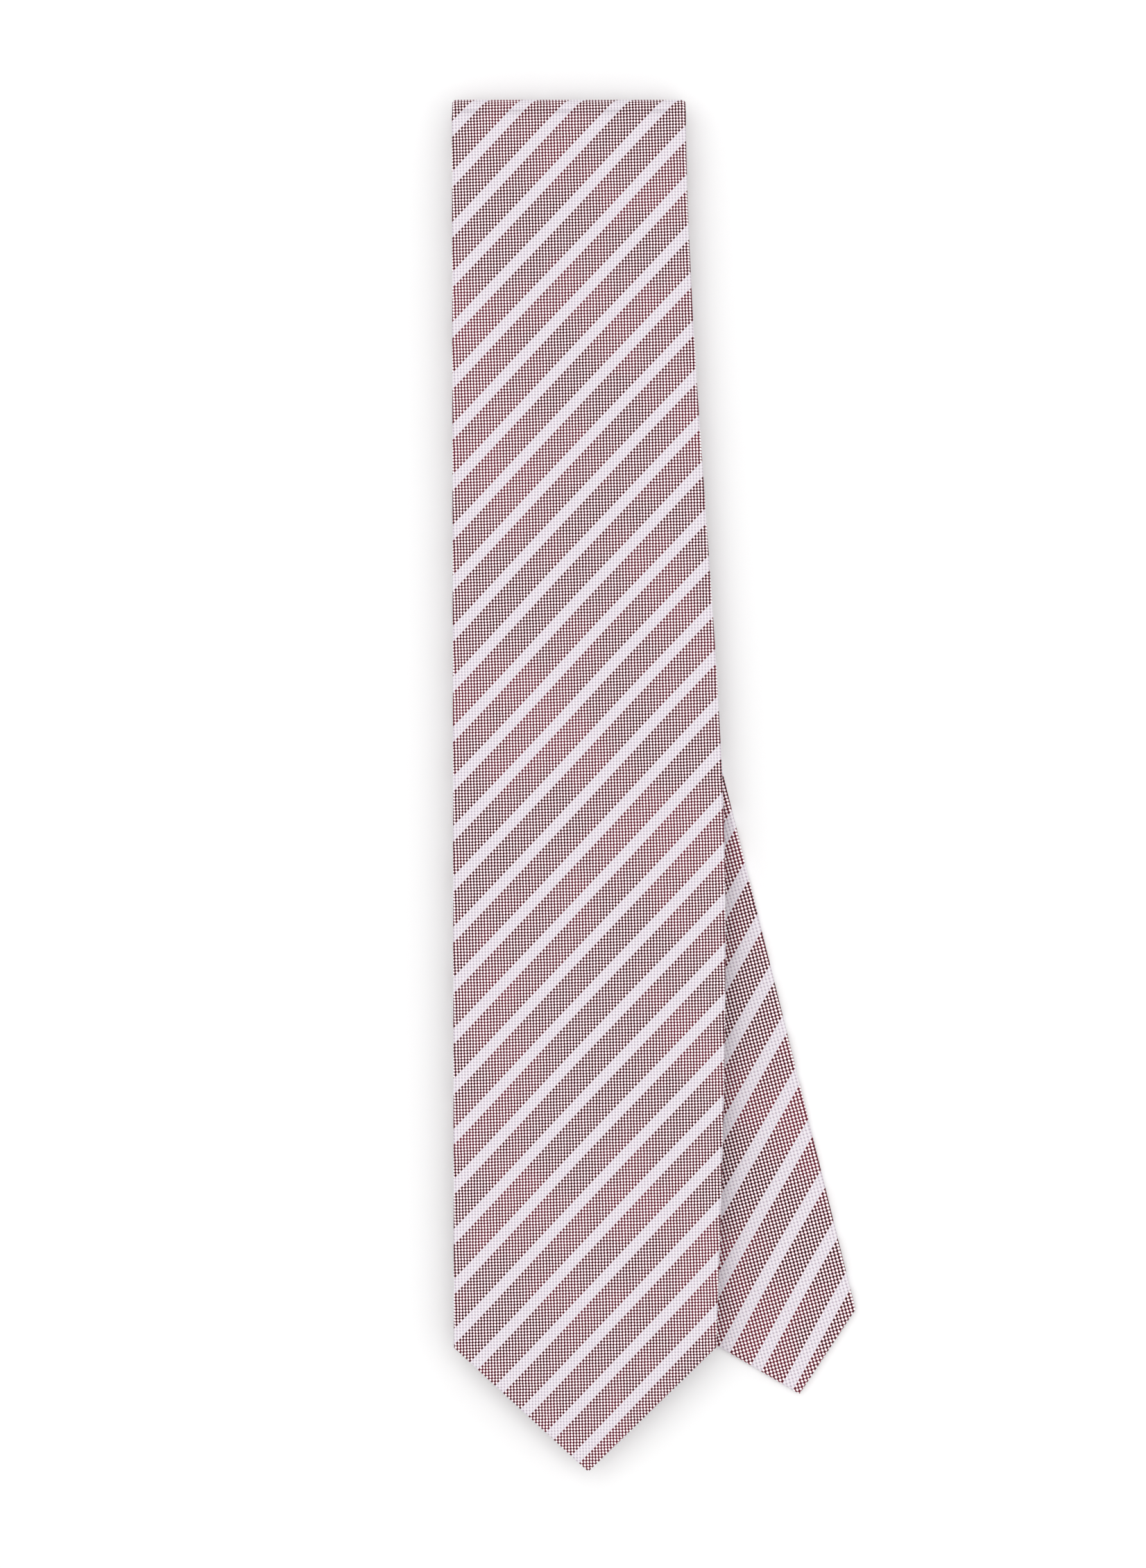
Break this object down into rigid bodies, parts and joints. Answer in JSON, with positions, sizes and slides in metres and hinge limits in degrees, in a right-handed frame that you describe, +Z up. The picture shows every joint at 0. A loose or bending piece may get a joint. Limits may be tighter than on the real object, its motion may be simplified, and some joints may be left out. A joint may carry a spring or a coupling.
{
  "type": "necktie",
  "caption": "Striped silk necktie, pressed and folded up with its narrow tail fanned out from under the wide pointed blade; it unfolds to full length.",
  "frame": {"origin": "on the table, under the middle of the folded tie's bounding box", "axes": "+Y up the folded tie from the points to the top fold, +X to the right across it, +Z up from the table through the blade's face"},
  "size_m": [0.1245, 0.4223, 0.0124],
  "materials": {
    "striped_silk": "satin",
    "interlining_wool": "matte",
    "tipping_lining": "satin",
    "silk_thread": "satin",
    "label_satin": "satin",
    "care_satin": "satin"
  },
  "bodies": {
    "tail": {"tail_shell": "striped_silk", "tail_interlining": "interlining_wool", "tail_tipping": "tipping_lining", "tail_slip_stitch": "silk_thread", "tail_bar_tack": "silk_thread", "tail_fold_shell": "striped_silk", "tail_fold_interlining": "interlining_wool"},
    "tail_neck": {"tail_neck_shell": "striped_silk", "tail_neck_interlining": "interlining_wool", "tail_neck_slip_stitch": "silk_thread", "tail_piecing_stitches": "silk_thread", "tail_turn_shell": "striped_silk", "tail_turn_interlining": "interlining_wool"},
    "neck_band": {"neck_band_shell": "striped_silk", "neck_band_interlining": "interlining_wool", "neck_band_slip_stitch": "silk_thread", "blade_turn_shell": "striped_silk", "blade_turn_interlining": "interlining_wool"},
    "blade_neck": {"blade_neck_shell": "striped_silk", "blade_neck_interlining": "interlining_wool", "blade_neck_slip_stitch": "silk_thread", "blade_piecing_stitches": "silk_thread", "top_fold_shell": "striped_silk", "top_fold_interlining": "interlining_wool"},
    "blade": {"blade_shell": "striped_silk", "blade_interlining": "interlining_wool", "blade_tipping": "tipping_lining", "blade_slip_stitch": "silk_thread", "blade_bar_tack": "silk_thread", "keeper_loop": "striped_silk", "keeper_loop_stitches": "silk_thread", "maker_label": "label_satin", "maker_label_stitches": "silk_thread", "care_label_stitches": "silk_thread"},
    "care_label": {"care_label": "care_satin"}
  },
  "joints": [
    {"name": "tail_fold_open", "type": "hinge", "parent": "tail", "child": "tail_neck", "pos_m": [-0.04341, 0.19315, 0.0025], "axis": [-0.9935, -0.1136, 0], "range_deg": [0, 180], "deforming": ["tail_fold_shell", "tail_fold_interlining"]},
    {"name": "tail_turn_open", "type": "hinge", "parent": "tail_neck", "child": "neck_band", "pos_m": [-0.04341, -0.11385, 0.0025], "axis": [0.7071, -0.7071, 0], "range_deg": [0, 180], "deforming": ["tail_turn_shell", "tail_turn_interlining"]},
    {"name": "blade_turn_open", "type": "hinge", "parent": "neck_band", "child": "blade_neck", "pos_m": [-0.00741, -0.11385, 0.0051], "axis": [0.7071, 0.7071, 0], "range_deg": [0, 180], "deforming": ["blade_turn_shell", "blade_turn_interlining"]},
    {"name": "blade_fold_open", "type": "hinge", "parent": "blade_neck", "child": "blade", "pos_m": [-0.02631, 0.20755, 0.0088], "axis": [-1, 0, 0], "range_deg": [0, 180], "deforming": ["top_fold_shell", "top_fold_interlining"]},
    {"name": "care_label_flip", "type": "hinge", "parent": "blade", "child": "care_label", "pos_m": [-0.02031, -0.15685, 0.01039], "axis": [1, 0, 0], "range_deg": [0, 90]}
  ],
  "couplings": [
    {"joint": "tail_turn_open", "follows": "tail_fold_open", "ratio": 1},
    {"joint": "blade_turn_open", "follows": "blade_fold_open", "ratio": 1}
  ]
}
